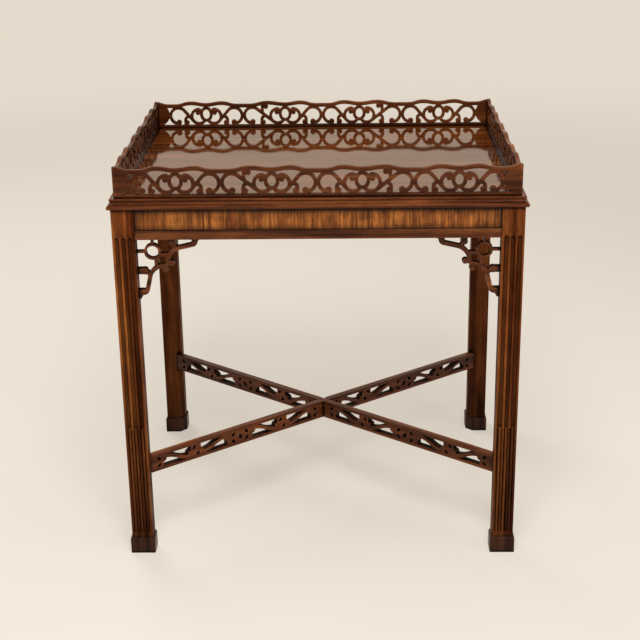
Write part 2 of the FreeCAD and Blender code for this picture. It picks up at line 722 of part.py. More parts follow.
def gallery_face(length):
    """Pierced face of a gallery board: rails, end blocks, and scroll motifs in mirrored halves."""
    height = size("gallery_height")
    low_rail = size("gallery_low_rail")
    high_rail = size("gallery_high_rail")
    end_reach = size("gallery_end_reach")
    end_flat = size("gallery_end_flat")
    lap = size("fret_lap")
    between = length - 2 * end_reach
    halves = 2 * max(1, round((between - 2 * size("scroll_branch_extra")) / (2 * size("scroll_length"))))
    branched = [number for number in (2, halves - 3) if 0 <= number < halves]
    plain = (between - len(set(branched)) * size("scroll_branch_extra")) / halves

    # Each half runs from a joint to an oval or back, from left to right
    faces = []
    ovals = []
    crown = [Vector(-length / 2, height, 0)]
    place = end_reach - length / 2
    joint_height = height - size("wave_joint_drop")
    oval_height = height - size("wave_oval_drop")
    flat = size("wave_joint_flat")
    strand = size("scroll_strand")
    level = low_rail + size("scroll_radius") + strand / 2 - lap
    joint_level = low_rail + size("scroll_joint_radius") + strand / 2 - lap
    motifs = {}
    for number in range(halves):
        is_branched = number in branched
        step = plain + size("scroll_branch_extra") * is_branched
        if is_branched not in motifs:
            motifs[is_branched] = scroll_half(step, is_branched)
        if number % 2 == 0:
            faces.append(moved(mirrored(motifs[is_branched]), place + step))
            crown += [Vector(place, joint_height, 0), Vector(place + flat, joint_height, 0),
                      Vector(place + (flat + step) / 2, height, 0), Vector(place + step, oval_height, 0)]
            ovals.append(Vector(place + step, level + size("oval_rise"), 0))
        else:
            faces.append(moved(motifs[is_branched], place))
            crown += [Vector(place + (step - flat) / 2, height, 0),
                      Vector(place + step - flat, joint_height, 0)]
        place += step
    crown += [Vector(place, joint_height, 0), Vector(length / 2, height, 0)]

    drop = Vector(0, -high_rail, 0)
    upper = []
    lower = []
    for start, end in zip(crown, crown[1:]):
        upper += swell(start, end)
        lower += swell(start + drop, end + drop)
    faces.append(closed_face(upper + [line(crown[-1], crown[-1] + drop)] + lower[::-1]
                             + [line(crown[0] + drop, crown[0])]))
    faces.append(outline_face([Vector(-length / 2, 0, 0), Vector(length / 2, 0, 0),
                               Vector(length / 2, low_rail, 0), Vector(-length / 2, low_rail, 0)]))

    # Plain end blocks, bowed inwards to meet the first ring
    for hand in (-1, 1):
        edge = hand * length / 2
        flat_line = edge - hand * end_flat
        top = Vector(flat_line, joint_height - lap, 0)
        foot = Vector(flat_line, low_rail - lap, 0)
        nose = Vector(edge - hand * (end_reach + lap), joint_level, 0)
        faces.append(closed_face([arc(foot, nose, top), line(top, Vector(edge, top.y, 0)),
                                  line(Vector(edge, top.y, 0), Vector(edge, foot.y, 0)),
                                  line(Vector(edge, foot.y, 0), foot)]))

    holes = []
    for centre in ovals:
        faces.append(oval(centre, size("oval_half_width") + strand, size("oval_half_height") + strand))
        faces.append(bar(centre, Vector(centre.x, oval_height - high_rail + lap, 0), size("scroll_neck")))
        holes.append(oval(centre, size("oval_half_width"), size("oval_half_height")))
    return merged(faces).cut(holes).Faces[0]


def make_gallery():
    """Four pierced boards, mitred at the corners, on tongues flush with their inner faces."""
    thickness = size("gallery_thickness")
    tongue = size("tongue_thickness")
    depth = size("tongue_depth")
    for side, turn, length_name, depth_name in SIDES:
        length = size(length_name) - 2 * size("gallery_inset")
        board = upright(gallery_face(length), thickness)
        strip = Part.makeBox(length, tongue, depth + size("fret_lap"),
                             Vector(-length / 2, thickness - tongue, -depth))
        plan = outline_face([Vector(-length / 2, 0, -depth), Vector(length / 2, 0, -depth),
                             Vector(length / 2 - thickness, thickness, -depth),
                             Vector(thickness - length / 2, thickness, -depth)])
        mitred = plan.extrude(Vector(0, 0, depth + size("gallery_height") + size("fret_lap")))
        item = doc.addObject("Part::Feature", f"gallery_{side}_board")
        item.Shape = one_solid(board.fuse(strip).common(mitred))
        seat_on_side(item, turn, f"{depth_name} / 2 - gallery_inset", "leg_top + top_thickness")
        keep(item, f"gallery_{side}")


def bracket_face():
    """Pierced face of a bracket: x away from the leg, y down from the apron as a negative value.

    It is the same on both sides of its diagonal: a ring tied to leg and apron, a strand that sweeps
    from each toe to a shared cusp and hooks over in a bulb, and a round ear that closes each toe's
    slot. A little of its top is then trimmed off.
    """
    strand = size("bracket_strand")
    lap = size("fret_lap")
    ring_place = size("bracket_ring_centre")
    ring_radius = size("bracket_ring_radius")
    ring_width = size("bracket_ring_width")
    reach = size("bracket_reach")
    toe_depth = size("bracket_toe_depth")
    bend = Vector(size("bracket_bend_reach"), -size("bracket_bend_drop"), 0)
    bend_radius = size("bracket_bend_radius")
    bulb = size("bracket_bulb")
    cusp = Vector(size("bracket_cusp_reach"), -size("bracket_cusp_drop"), 0)
    ear = Vector(size("bracket_ear_reach"), -size("bracket_ear_drop"), 0)
    inner = bend.x - bend_radius
    tie = size("bracket_tie")
    toe_start = reach - size("bracket_toe_length")
    toe_end = Vector(toe_start + strand / 2, -toe_depth + strand / 2, 0)

    # The straight part of the sweep leaves the bend along its tangent
    away = toe_end - bend
    bend_turn = math.degrees(math.atan2(away.y, away.x) + math.acos(bend_radius / away.Length))
    bend_top = spot(bend, bend_radius, bend_turn)

    # The toe rounds up to a thin nose along the apron
    nose_depth = size("bracket_nose_depth")
    heel = Vector(toe_start, 0, 0)
    tip = Vector(reach, 0, 0)
    under_tip = Vector(reach, -nose_depth / 2, 0)
    nose_root = Vector(reach - size("bracket_nose_length"), -nose_depth, 0)
    belly = Vector(toe_start + strand / 2, -toe_depth, 0)
    shoulder = (nose_root + belly) / 2 + Vector(nose_depth / 5, -nose_depth / 5, 0)
    under_heel = Vector(toe_start, -toe_depth, 0)
    toe = closed_face([line(heel, tip), line(tip, under_tip), line(under_tip, nose_root),
                       arc(nose_root, shoulder, belly), line(belly, under_heel), line(under_heel, heel)])

    tie_start = ring_place + ring_radius - ring_width / 2 + lap / 2
    cusp_middle = inner - strand / 4
    hook_drop = Vector(0, -bulb / 3, 0)
    half = [
        bar(Vector(ring_place, 0, 0), Vector(ring_place, -ring_place + ring_radius, 0), ring_width),
        bar(Vector(tie_start, -tie, 0), Vector(inner + strand / 2, -tie, 0), size("bracket_tie_width")),
        curl(bend, bend_radius, strand, bend_turn - 1, 180),
        bar(bend_top, toe_end, strand),
        toe,
        disc(ear, size("bracket_ear_radius")),
        bar(Vector(ear.x, 0, 0), ear, size("bracket_ear_width")),
        bar(ear, spot(bend, bend_radius, size("bracket_neck_turn")), strand),
        bar(Vector(inner, bend.y + lap, 0), Vector(inner, -cusp_middle, 0), strand),
        disc(cusp, bulb),
        bar(cusp + hook_drop, Vector(inner, cusp.y, 0) + hook_drop, bulb),
    ]
    other = [reflected(face, Vector(1, 1, 0)) for face in half]
    ring = curl(Vector(ring_place, -ring_place, 0), ring_radius, ring_width, 0, 180)
    ring_below = curl(Vector(ring_place, -ring_place, 0), ring_radius, ring_width, 180, 360)
    cusp_end = disc(Vector(cusp_middle, -cusp_middle, 0), strand / 2)
    whole = merged([ring, ring_below, cusp_end] + half + other)
    whole.translate(Vector(0, size("bracket_rise"), 0))
    corner = [Vector(0, 0, 0), Vector(0, -reach, 0), Vector(reach, -reach, 0), Vector(reach, 0, 0)]
    return whole.common(outline_face(corner)).Faces[0]


def make_brackets():
    """Eight fret brackets, each with a tongue on its toe in the apron above."""
    thickness = size("bracket_thickness")
    tongue = size("tongue_thickness")
    length = size("bracket_tongue_length")
    lap = size("fret_lap")
    face = bracket_face()
    for side, turn, length_name, depth_name in SIDES:
        span = size(length_name) - 2 * size("leg_side")
        for hand, name in ((-1, "left"), (1, "right")):
            fret = upright(moved(face if hand < 0 else mirrored(face), hand * span / 2), thickness)
            middle = hand * (span / 2 - size("bracket_reach") + size("bracket_toe_length") / 2)
            stub = Part.makeBox(length, tongue, size("tongue_depth") + lap,
                                Vector(middle - length / 2, (thickness - tongue) / 2, -lap))
            item = doc.addObject("Part::Feature", f"bracket_{side}_{name}_fret")
            item.Shape = one_solid(fret.fuse(stub))
            seat_on_side(item, turn, f"{depth_name} / 2 - apron_setback - bracket_setback + strip_thickness",
                         "leg_top - apron_height")
            keep(item, f"bracket_{side}_{name}")


def leaf(centre, length, width, tilt):
    """A leaf-shaped opening between two arcs, its length tilted from upright by an angle in degrees."""
    tip = spot(Vector(), length / 2, 90 + tilt)
    bow = spot(Vector(), width / 2, tilt)
    return closed_face([arc(centre + tip, centre + bow, centre - tip),
                        arc(centre - tip, centre - bow, centre + tip)])


def panel_openings(length):
    """The two openings of one panel, either side of an S-shaped strand that falls from left to right.

    The panel starts at x = 0, with y up from the bottom of the bar. A lobe rounds each end of the
    strand, and the openings run out to points along the rails.
    """
    low = size("stretcher_rail")
    high = size("stretcher_height") - low
    strand = size("stretcher_strand")
    lap = size("fret_lap")
    radius = size("stretcher_lobe_radius")
    rise = size("stretcher_lobe_rise")
    middle = size("stretcher_height") / 2
    panel = outline_face([Vector(0, low, 0), Vector(length, low, 0), Vector(length, high, 0),
                          Vector(0, high, 0)])
    top_start = Vector(0, high + lap, 0)
    top_end = Vector(length, low + strand, 0)
    foot_start = Vector(0, high - strand, 0)
    foot_end = Vector(length, low - lap, 0)
    falling = closed_face(swell(top_start, top_end) + [line(top_end, foot_end)]
                          + swell(foot_start, foot_end)[::-1] + [line(foot_start, top_start)])
    lobes = [disc(Vector(0, middle + rise, 0), radius), disc(Vector(length, middle - rise, 0), radius)]
    openings = panel.cut([falling] + lobes).Faces
    return sorted(openings, key=lambda face: face.Area)[-2:]


def arm_openings(length):
    """Openings of one arm of a stretcher, x from the crossing to the leg, y up from the bottom.

    Two runs of scrollwork stand either side of a rosette. In each run a panel with a falling
    strand and one with a rising strand stand either side of a pair of curls.
    """
    middle = size("stretcher_height") / 2
    curl_gap = size("stretcher_curl")
    rosette = size("stretcher_rosette")
    eye = (size("stretcher_eye_length"), size("stretcher_eye_width"))
    tilt = size("stretcher_eye_tilt")
    eye_rise = size("rosette_eye_rise")
    first = size("stretcher_plain_middle")
    run = (length - first - size("stretcher_plain_end") - rosette) / 2
    panel = (run - curl_gap) / 2
    falling = panel_openings(panel)
    rising = [mirrored(face) for face in falling]
    faces = []
    for start in (first, first + run + rosette):
        faces += [moved(face, start) for face in falling]
        faces += [moved(face, start + run) for face in rising]
        for hand in (-1, 1):
            eye_place = start + run / 2 + hand * size("stretcher_eye_spread")
            faces.append(leaf(Vector(eye_place, middle + hand * eye_rise, 0), *eye, tilt))

    # Two eyes beyond the curl at each end of the arm
    for place in (first - size("stretcher_end_eye"), first + 2 * run + rosette + size("stretcher_end_eye")):
        for up in (-1, 1):
            faces.append(leaf(Vector(place, middle + up * eye_rise, 0), *eye, -up * tilt))

    # Rosette: one large leaf between four eyes
    heart = first + run + rosette / 2
    faces.append(leaf(Vector(heart, middle, 0), size("rosette_leaf_height"), size("rosette_leaf_width"),
                      -size("rosette_leaf_tilt")))
    for hand in (-1, 1):
        eye_place = heart + hand * size("rosette_eye_spread")
        for up in (-1, 1):
            faces.append(leaf(Vector(eye_place, middle + up * eye_rise, 0), *eye, hand * up * tilt))
    return faces


def make_stretchers():
    """Two pierced bars from leg to leg, halved into each other where they cross."""
    height = size("stretcher_height")
    thickness = size("stretcher_thickness")
    play = size("joint_play")
    course, half = stretcher_course()
    openings = arm_openings(half)
    tenon_thickness = size("stretcher_tenon_thickness")
    tenon_height = size("stretcher_tenon_height")
    tenon_run = 2 * (half + size("stretcher_tenon_length"))
    lean = math.tan(math.radians(45 - course)) * thickness / 2
    for name, turn, hand in (("front_left_back_right", course, -1), ("back_left_front_right", -course, 1)):
        long = half + thickness
        plate = outline_face([Vector(-long, 0, 0), Vector(long, 0, 0), Vector(long, height, 0),
                              Vector(-long, height, 0)])
        plate = plate.cut(openings + [mirrored(face) for face in openings]).Faces[0]
        shape = upright(plate, thickness)
        shape.translate(Vector(0, -thickness / 2, 0))

        # The ends meet the planed corners of the legs at a slight skew
        skew = hand * lean
        plan = outline_face([Vector(-half - skew, -thickness / 2, 0), Vector(half - skew, -thickness / 2, 0),
                             Vector(half + skew, thickness / 2, 0), Vector(-half + skew, thickness / 2, 0)])
        shape = shape.common(plan.extrude(Vector(0, 0, height)))
        for end in (-1, 1):
            solid_end = half - size("stretcher_plain_end") / 2
            start = solid_end if end > 0 else -tenon_run / 2
            tenon = Part.makeBox(tenon_run / 2 - solid_end, tenon_thickness, tenon_height,
                                 Vector(start, -tenon_thickness / 2, (height - tenon_height) / 2))
            shape = shape.fuse(tenon)

        # One bar loses its upper half at the crossing and the other its lower half
        slot_height = height / 2 + play / 2
        slot = Part.makeBox(4 * thickness, thickness + 2 * play, slot_height + play,
                            Vector(-2 * thickness, -thickness / 2 - play, -play))
        slot.rotate(Vector(), UPWARDS, -2 * turn)
        if hand < 0:
            slot.translate(Vector(0, 0, height - slot_height + play))
        item = doc.addObject("Part::Feature", f"stretcher_{name}_bar")
        item.Shape = one_solid(shape.cut(slot))
        seat(item, turn, "0", "0", "stretcher_bottom")
        keep(item, f"stretcher_{name}")


def check_and_export():
    """Stop on any failed object or poor solid, then write every piece to its own file."""
    doc.recompute()
    for item in doc.Objects:
        if "Invalid" in item.State or "Error" in item.State:
            raise RuntimeError(f"{item.Label} failed: {item.State}")
    os.makedirs("parts", exist_ok=True)
    for item in pieces:
        shape = item.Shape
        if shape.isNull() or not shape.isValid() or not shape.Solids:
            raise RuntimeError(f"{item.Label} has no valid solid")
    for item in pieces:
        item.Shape.exportStep(f"parts/{item.Label}.step")
        print(f"{item.Label}: {len(item.Shape.Solids)} solid, {item.Shape.Volume / 1000:.1f} cm3")


make_legs()
make_feet()
make_aprons()
make_brackets()
make_stretchers()
make_glue_blocks()
make_top()
make_gallery()
check_and_export()
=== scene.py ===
"""Looks of a tray-top serving table in polished mahogany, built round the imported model.

Lengths are metres, +Z is up and the front of the table faces -Y.
"""
import math

import bmesh
import bpy
from mathutils import Matrix, Vector
from mathutils.kdtree import KDTree


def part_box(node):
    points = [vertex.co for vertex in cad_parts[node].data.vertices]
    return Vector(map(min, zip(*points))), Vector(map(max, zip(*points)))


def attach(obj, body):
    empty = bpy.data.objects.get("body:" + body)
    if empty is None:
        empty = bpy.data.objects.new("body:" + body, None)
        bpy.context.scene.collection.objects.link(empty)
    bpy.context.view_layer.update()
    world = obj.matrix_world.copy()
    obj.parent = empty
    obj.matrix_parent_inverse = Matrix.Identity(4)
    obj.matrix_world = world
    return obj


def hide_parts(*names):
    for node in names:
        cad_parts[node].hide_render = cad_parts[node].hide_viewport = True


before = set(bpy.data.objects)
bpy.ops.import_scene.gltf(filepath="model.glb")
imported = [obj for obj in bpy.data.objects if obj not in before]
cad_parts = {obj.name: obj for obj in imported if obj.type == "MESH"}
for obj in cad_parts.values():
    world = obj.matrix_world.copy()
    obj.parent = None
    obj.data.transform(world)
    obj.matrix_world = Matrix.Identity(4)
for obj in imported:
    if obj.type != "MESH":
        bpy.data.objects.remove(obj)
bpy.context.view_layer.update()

# Legs
# Four square legs planed from solid mahogany, the inner corner taken off. Three flutes are
# scratched into each outer face, and the wood is stained and waxed; painted shade darkens the hollows.
CORNERS = ("front_left", "front_right", "back_right", "back_left")
UPRIGHT_GRAIN = (0, math.radians(90), 0)
LEG_EDGE = 0.0004
LEG_TONES = ((0.038, 0.0074, 0.0012), (0.120, 0.0305, 0.0066), (0.220, 0.069, 0.0150))
# A band that makes the legs and reeds darker towards their lower ends
DARKER_TOWARDS_FOOT = ("Z", 0.70, 0.70, 0.45)
EDGE_ANGLE = math.radians(38)
FLAT_ANGLE = math.radians(0.5)
LONG_EDGE = 0.006
SAME_PLACE = 0.000001
FIGURE_STOPS = (0.32, 0.5, 0.72)
FULL_RANGE = (0.0, 1.0)
HOLLOW_RANGE = (0.72, 0.95)
PROUD_RANGE = (0.4, 0.95)
PORE_RANGE = (0.54, 0.70)
CLOUD_RANGE = (0.3, 0.7)
PORE_STRETCH = (45, 900, 900)
PORE_HEIGHT = 0.0003
PORE_SHADE = 0.45
HOLLOW_SHADE_DEPTH = 0.05
RUB_AND_HIGHLIGHT_REACH = 0.003
CLOUD_MIDDLE = 0.94
CLOUD_DULL = 1.3
CLOUD_BRIGHT = 0.75
SAWN_STAIN_AND_SHADE = 0.2
SAWN_DULLNESS = 0.4
BORDER_SHADE = 0.4
OCCLUSION_RAYS = 8


def add_node(tree, kind, **values):
    """A node of a tree, with its settings and the values of its named sockets."""
    node = tree.nodes.new(kind)
    for name, value in values.items():
        if name in node.inputs:
            node.inputs[name].default_value = value
        else:
            setattr(node, name, value)
    return node


def waxed_mahogany(name, turn, tones, streaks=60, run=2.5, clouding=(14, 26, 0.28), rough=0.32, shine=0.12,
                   polish=(1, 1, 1), pore_depth=0.12, hollow_shade_reach=0.008, wear_and_highlight=0.6, borders=()):
    """Stained and waxed mahogany.

    `turn` brings the run of the grain onto x, and `tones` are the dark, middle and light of the
    figure. `streaks` and `run` are how many figures fit in a metre across and along the grain.
    `clouding` is how many clouds of stain fit in a metre along and across it, and how strong they
    are. `rough` is the middle roughness, `shine` the gloss of the waxed or polished surface, `polish` its
    colour and `pore_depth` how open the pores are left. `hollow_shade_reach` is how far from a hollow painted
    shade darkens the wood, and `wear_and_highlight` how much rubbing and painted highlight lighten what
    stands proud. `borders` are bands along which the colour is darkened, each an axis, the middle
    between its two bands, the distance from there to their outsides, and their width.
    """
    material = bpy.data.materials.new(name)
    material.use_nodes = True
    tree = material.node_tree
    link = tree.links.new
    shader = tree.nodes["Principled BSDF"]
    shader.inputs["Specular IOR Level"].default_value = shine
    shader.inputs["Specular Tint"].default_value = (*polish, 1)

    place = add_node(tree, "ShaderNodeTexCoord")
    turned = add_node(tree, "ShaderNodeMapping", Rotation=turn)
    link(place.outputs["Object"], turned.inputs["Vector"])

    def drawn_noise(stretch, detail, distortion):
        """A noise drawn out along the grain."""
        drawn = add_node(tree, "ShaderNodeVectorMath", operation="MULTIPLY")
        drawn.inputs[1].default_value = stretch
        noise = add_node(tree, "ShaderNodeTexNoise", Scale=1, Detail=detail, Distortion=distortion)
        link(turned.outputs["Vector"], drawn.inputs[0])
        link(drawn.outputs["Vector"], noise.inputs["Vector"])
        return noise.outputs["Fac"]

    def ranged(value, span, first, last):
        """A value moved from its span to the range from first to last, and held there."""
        node = add_node(tree, "ShaderNodeMapRange")
        for socket, number in zip(("From Min", "From Max", "To Min", "To Max"), (*span, first, last)):
            node.inputs[socket].default_value = number
        link(value, node.inputs["Value"])
        return node.outputs["Result"]

    def product(first, second):
        """Two values multiplied."""
        node = add_node(tree, "ShaderNodeMath", operation="MULTIPLY")
        link(first, node.inputs[0])
        link(second, node.inputs[1])
        return node.outputs["Value"]

    # Streaks of figure, clouds where the stain took unevenly, and short dark pores
    figure = drawn_noise((run, streaks, streaks), 5, 0.6)
    along, across, strength = clouding
    clouds = drawn_noise((along, across, across), 3, 0.3)
    pores = drawn_noise(PORE_STRETCH, 2, 0)
    ramp = add_node(tree, "ShaderNodeValToRGB")
    ramp.color_ramp.elements.new(FIGURE_STOPS[1])
    for element, position, tone in zip(ramp.color_ramp.elements, FIGURE_STOPS, tones):
        element.position = position
        element.color = (*tone, 1)
    link(figure, ramp.inputs["Fac"])

    # Painted shade darkens the hollows, and rubbing and a painted highlight lighten what stands proud
    hollow = add_node(tree, "ShaderNodeAmbientOcclusion", samples=OCCLUSION_RAYS, Distance=hollow_shade_reach)
    hollow_shade = ranged(hollow.outputs["AO"], HOLLOW_RANGE, HOLLOW_SHADE_DEPTH, 1.0)
    # Painted highlight, together with some rubbing, lightens what stands proud
    proud = add_node(tree, "ShaderNodeAmbientOcclusion", samples=OCCLUSION_RAYS, Distance=RUB_AND_HIGHLIGHT_REACH,
                     inside=True)
    rubbed = ranged(proud.outputs["AO"], PROUD_RANGE, 1.0 + wear_and_highlight, 1.0)
    pore_shade = ranged(pores, PORE_RANGE, 1.0, PORE_SHADE)
    cloud_shade = ranged(clouds, CLOUD_RANGE, CLOUD_MIDDLE - strength, CLOUD_MIDDLE + strength)
    shade = product(product(hollow_shade, rubbed), product(pore_shade, cloud_shade))

    # End grain in the sawn holes drinks the stain and carries painted shade; the same mark puts painted shade
    # on walls that look up in shaded boards
    sawn = add_node(tree, "ShaderNodeAttribute", attribute_name="sawn")
    shade = product(shade, ranged(sawn.outputs["Fac"], FULL_RANGE, 1.0, SAWN_STAIN_AND_SHADE))
    split = add_node(tree, "ShaderNodeSeparateXYZ")
    link(place.outputs["Object"], split.inputs["Vector"])
    for axis, middle, reach, width in borders:
        offset = add_node(tree, "ShaderNodeMath", operation="SUBTRACT")
        offset.inputs[1].default_value = middle
        away = add_node(tree, "ShaderNodeMath", operation="ABSOLUTE")
        link(split.outputs[axis], offset.inputs[0])
        link(offset.outputs["Value"], away.inputs[0])
        shade = product(shade, ranged(away.outputs["Value"], (reach - width, reach), 1.0, BORDER_SHADE))
    colour = add_node(tree, "ShaderNodeVectorMath", operation="SCALE")
    link(ramp.outputs["Color"], colour.inputs[0])
    link(shade, colour.inputs["Scale"])
    link(colour.outputs["Vector"], shader.inputs["Base Color"])

    dullness = add_node(tree, "ShaderNodeMath", operation="ADD")
    link(ranged(clouds, CLOUD_RANGE, rough * CLOUD_DULL, rough * CLOUD_BRIGHT), dullness.inputs[0])
    link(ranged(sawn.outputs["Fac"], FULL_RANGE, 0.0, SAWN_DULLNESS), dullness.inputs[1])
    link(dullness.outputs["Value"], shader.inputs["Roughness"])
    bump = add_node(tree, "ShaderNodeBump", Strength=pore_depth, Distance=PORE_HEIGHT)
    link(pore_shade, bump.inputs["Height"])
    link(bump.outputs["Normal"], shader.inputs["Normal"])
    return material


def show(mesh, name, material):
    """A piece made of one mesh, fixed to the table, with its finish."""
    piece = bpy.data.objects.new(name, mesh)
    bpy.context.scene.collection.objects.link(piece)
    mesh.materials.clear()
    mesh.materials.append(material)
    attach(piece, "root")
    return piece


def eased(node, name, edge, steps, material):
    """A piece with the shape of a solid and its long sharp edges rubbed down by `edge`."""
    mesh = bpy.data.meshes.new(name)
    shell = bmesh.new()
    shell.from_mesh(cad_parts[node].data)
    bmesh.ops.remove_doubles(shell, verts=shell.verts, dist=SAME_PLACE)
    bmesh.ops.dissolve_limit(shell, angle_limit=FLAT_ANGLE, verts=shell.verts, edges=shell.edges)
    for face in shell.faces:
        face.smooth = True
    weights = shell.edges.layers.float.new("bevel_weight_edge")
    for line in shell.edges:
        if len(line.link_faces) == 2 and line.is_convex and line.calc_length() > LONG_EDGE:
            line[weights] = float(line.calc_face_angle() > EDGE_ANGLE)
    shell.to_mesh(mesh)
    shell.free()
    mesh.set_sharp_from_angle(angle=EDGE_ANGLE)
    piece = show(mesh, name, material)
    bevel = piece.modifiers.new("rubbed edges", "BEVEL")
    bevel.width = edge
    bevel.segments = steps
    bevel.limit_method = "WEIGHT"
    bevel.use_clamp_overlap = False
    bevel.harden_normals = True
    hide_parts(node)
    return piece


leg_wood = waxed_mahogany("waxed mahogany, upright", UPRIGHT_GRAIN, LEG_TONES, rough=0.5, shine=0.04,
                          borders=(DARKER_TOWARDS_FOOT,))
for corner in CORNERS:
    eased(f"leg_{corner}", f"fluted_leg_{corner}", LEG_EDGE, 2, leg_wood)

# Reeds
# The lower part of each flute is stopped with a reed: a slim rod of mahogany with a rounded top,
# glued into the flute so that its crown stands just proud of the leg.
REED_RADIUS = 0.0029
REED_SINK = 0.0023
REED_TOP = 0.2545
FLUTE_SPACING = 0.0114
REED_TONES = ((0.030, 0.0066, 0.0014), (0.085, 0.0220, 0.0050), (0.160, 0.050, 0.0115))
REED_SAMPLES = 40
REED_SIDES = 14


def new_tree(name, sizes, finish):
    """A geometry tree with inputs for its points, its named sizes and its finish, and its input node."""
    tree = bpy.data.node_groups.new(name, "GeometryNodeTree")
    tree.interface.new_socket("Geometry", in_out="INPUT", socket_type="NodeSocketGeometry")
    for size in sizes:
        tree.interface.new_socket(size, in_out="INPUT", socket_type="NodeSocketFloat")
    tree.interface.new_socket(finish, in_out="INPUT", socket_type="NodeSocketMaterial")
    tree.interface.new_socket("Geometry", in_out="OUTPUT", socket_type="NodeSocketGeometry")
    return tree, add_node(tree, "NodeGroupInput")


def set_out(tree, given, shape, finish):
    """Ends a tree: a copy of the shape on each point, with its finish."""
    link = tree.links.new
    rows = add_node(tree, "GeometryNodeInstanceOnPoints")
    real = add_node(tree, "GeometryNodeRealizeInstances")
    dressed = add_node(tree, "GeometryNodeSetMaterial")
    result = add_node(tree, "NodeGroupOutput")
    link(given.outputs["Geometry"], rows.inputs["Points"])
    link(shape, rows.inputs["Instance"])
    link(rows.outputs["Instances"], real.inputs["Geometry"])
    link(real.outputs["Geometry"], dressed.inputs["Geometry"])
    link(given.outputs[finish], dressed.inputs["Material"])
    link(dressed.outputs["Geometry"], result.inputs["Geometry"])


def grown(points, tree, values, name, material):
    """A piece that a geometry tree grows from points, turned into a plain mesh."""
    mesh = bpy.data.meshes.new(name + "_points")
    mesh.from_pydata(points, [], [])
    seed = bpy.data.objects.new(name + "_points", mesh)
    bpy.context.scene.collection.objects.link(seed)
    modifier = seed.modifiers.new(name, "NODES")
    modifier.node_group = tree
    for item in tree.interface.items_tree:
        if item.in_out == "INPUT" and item.name in values:
            modifier[item.identifier] = values[item.name]
    bpy.context.view_layer.update()
    made = bpy.data.meshes.new_from_object(seed.evaluated_get(bpy.context.evaluated_depsgraph_get()))
    seed.modifiers.remove(modifier)
    bpy.data.objects.remove(seed)
    made.name = name
    return show(made, name, material)


def reed_tree():
    """Stands an upright rod with a rounded top on each point."""
    tree, given = new_tree("reeds", ("Length", "Radius"), "Wood")
    link = tree.links.new
    line = add_node(tree, "GeometryNodeCurvePrimitiveLine")
    sampled = add_node(tree, "GeometryNodeResampleCurve", Count=REED_SAMPLES)
    link(line.outputs["Curve"], sampled.inputs["Curve"])

    # Samples crowd together towards the top, where the rod rounds over
    share = add_node(tree, "GeometryNodeSplineParameter")
    quarter = add_node(tree, "ShaderNodeMath", operation="MULTIPLY")
    quarter.inputs[1].default_value = math.pi / 2
    eased_share = add_node(tree, "ShaderNodeMath", operation="SINE")
    height = add_node(tree, "ShaderNodeMath", operation="MULTIPLY")
    upright = add_node(tree, "ShaderNodeCombineXYZ")
    raised = add_node(tree, "GeometryNodeSetPosition")
    link(share.outputs["Factor"], quarter.inputs[0])
    link(quarter.outputs["Value"], eased_share.inputs[0])
    link(eased_share.outputs["Value"], height.inputs[0])
    link(given.outputs["Length"], height.inputs[1])
    link(height.outputs["Value"], upright.inputs["Z"])
    link(sampled.outputs["Curve"], raised.inputs["Geometry"])
    link(upright.outputs["Vector"], raised.inputs["Position"])

    # Within one radius of the top the rod is a half ball: sqrt(1 - (1 - drop / radius)^2)
    spot = add_node(tree, "GeometryNodeInputPosition")
    split = add_node(tree, "ShaderNodeSeparateXYZ")
    drop = add_node(tree, "ShaderNodeMath", operation="SUBTRACT")
    part = add_node(tree, "ShaderNodeMath", operation="DIVIDE", use_clamp=True)
    rest = add_node(tree, "ShaderNodeMath", operation="SUBTRACT")
    rest.inputs[0].default_value = 1
    square = add_node(tree, "ShaderNodeMath", operation="MULTIPLY")
    left = add_node(tree, "ShaderNodeMath", operation="SUBTRACT")
    left.inputs[0].default_value = 1
    width = add_node(tree, "ShaderNodeMath", operation="SQRT")
    rounded = add_node(tree, "GeometryNodeSetCurveRadius")
    link(spot.outputs["Position"], split.inputs["Vector"])
    link(given.outputs["Length"], drop.inputs[0])
    link(split.outputs["Z"], drop.inputs[1])
    link(drop.outputs["Value"], part.inputs[0])
    link(given.outputs["Radius"], part.inputs[1])
    link(part.outputs["Value"], rest.inputs[1])
    link(rest.outputs["Value"], square.inputs[0])
    link(rest.outputs["Value"], square.inputs[1])
    link(square.outputs["Value"], left.inputs[1])
    link(left.outputs["Value"], width.inputs[0])
    link(raised.outputs["Geometry"], rounded.inputs["Curve"])
    link(width.outputs["Value"], rounded.inputs["Radius"])

    profile = add_node(tree, "GeometryNodeCurvePrimitiveCircle", Resolution=REED_SIDES)
    swept = add_node(tree, "GeometryNodeCurveToMesh")
    swept.inputs["Fill Caps"].default_value = True
    radius = add_node(tree, "GeometryNodeInputRadius")
    closed = add_node(tree, "GeometryNodeMergeByDistance", Distance=2 * SAME_PLACE)
    link(given.outputs["Radius"], profile.inputs["Radius"])
    link(rounded.outputs["Curve"], swept.inputs["Curve"])
    link(profile.outputs["Curve"], swept.inputs["Profile Curve"])
    link(radius.outputs["Radius"], swept.inputs["Scale"])
    link(swept.outputs["Mesh"], closed.inputs["Geometry"])
    set_out(tree, given, closed.outputs["Geometry"], "Wood")
    return tree


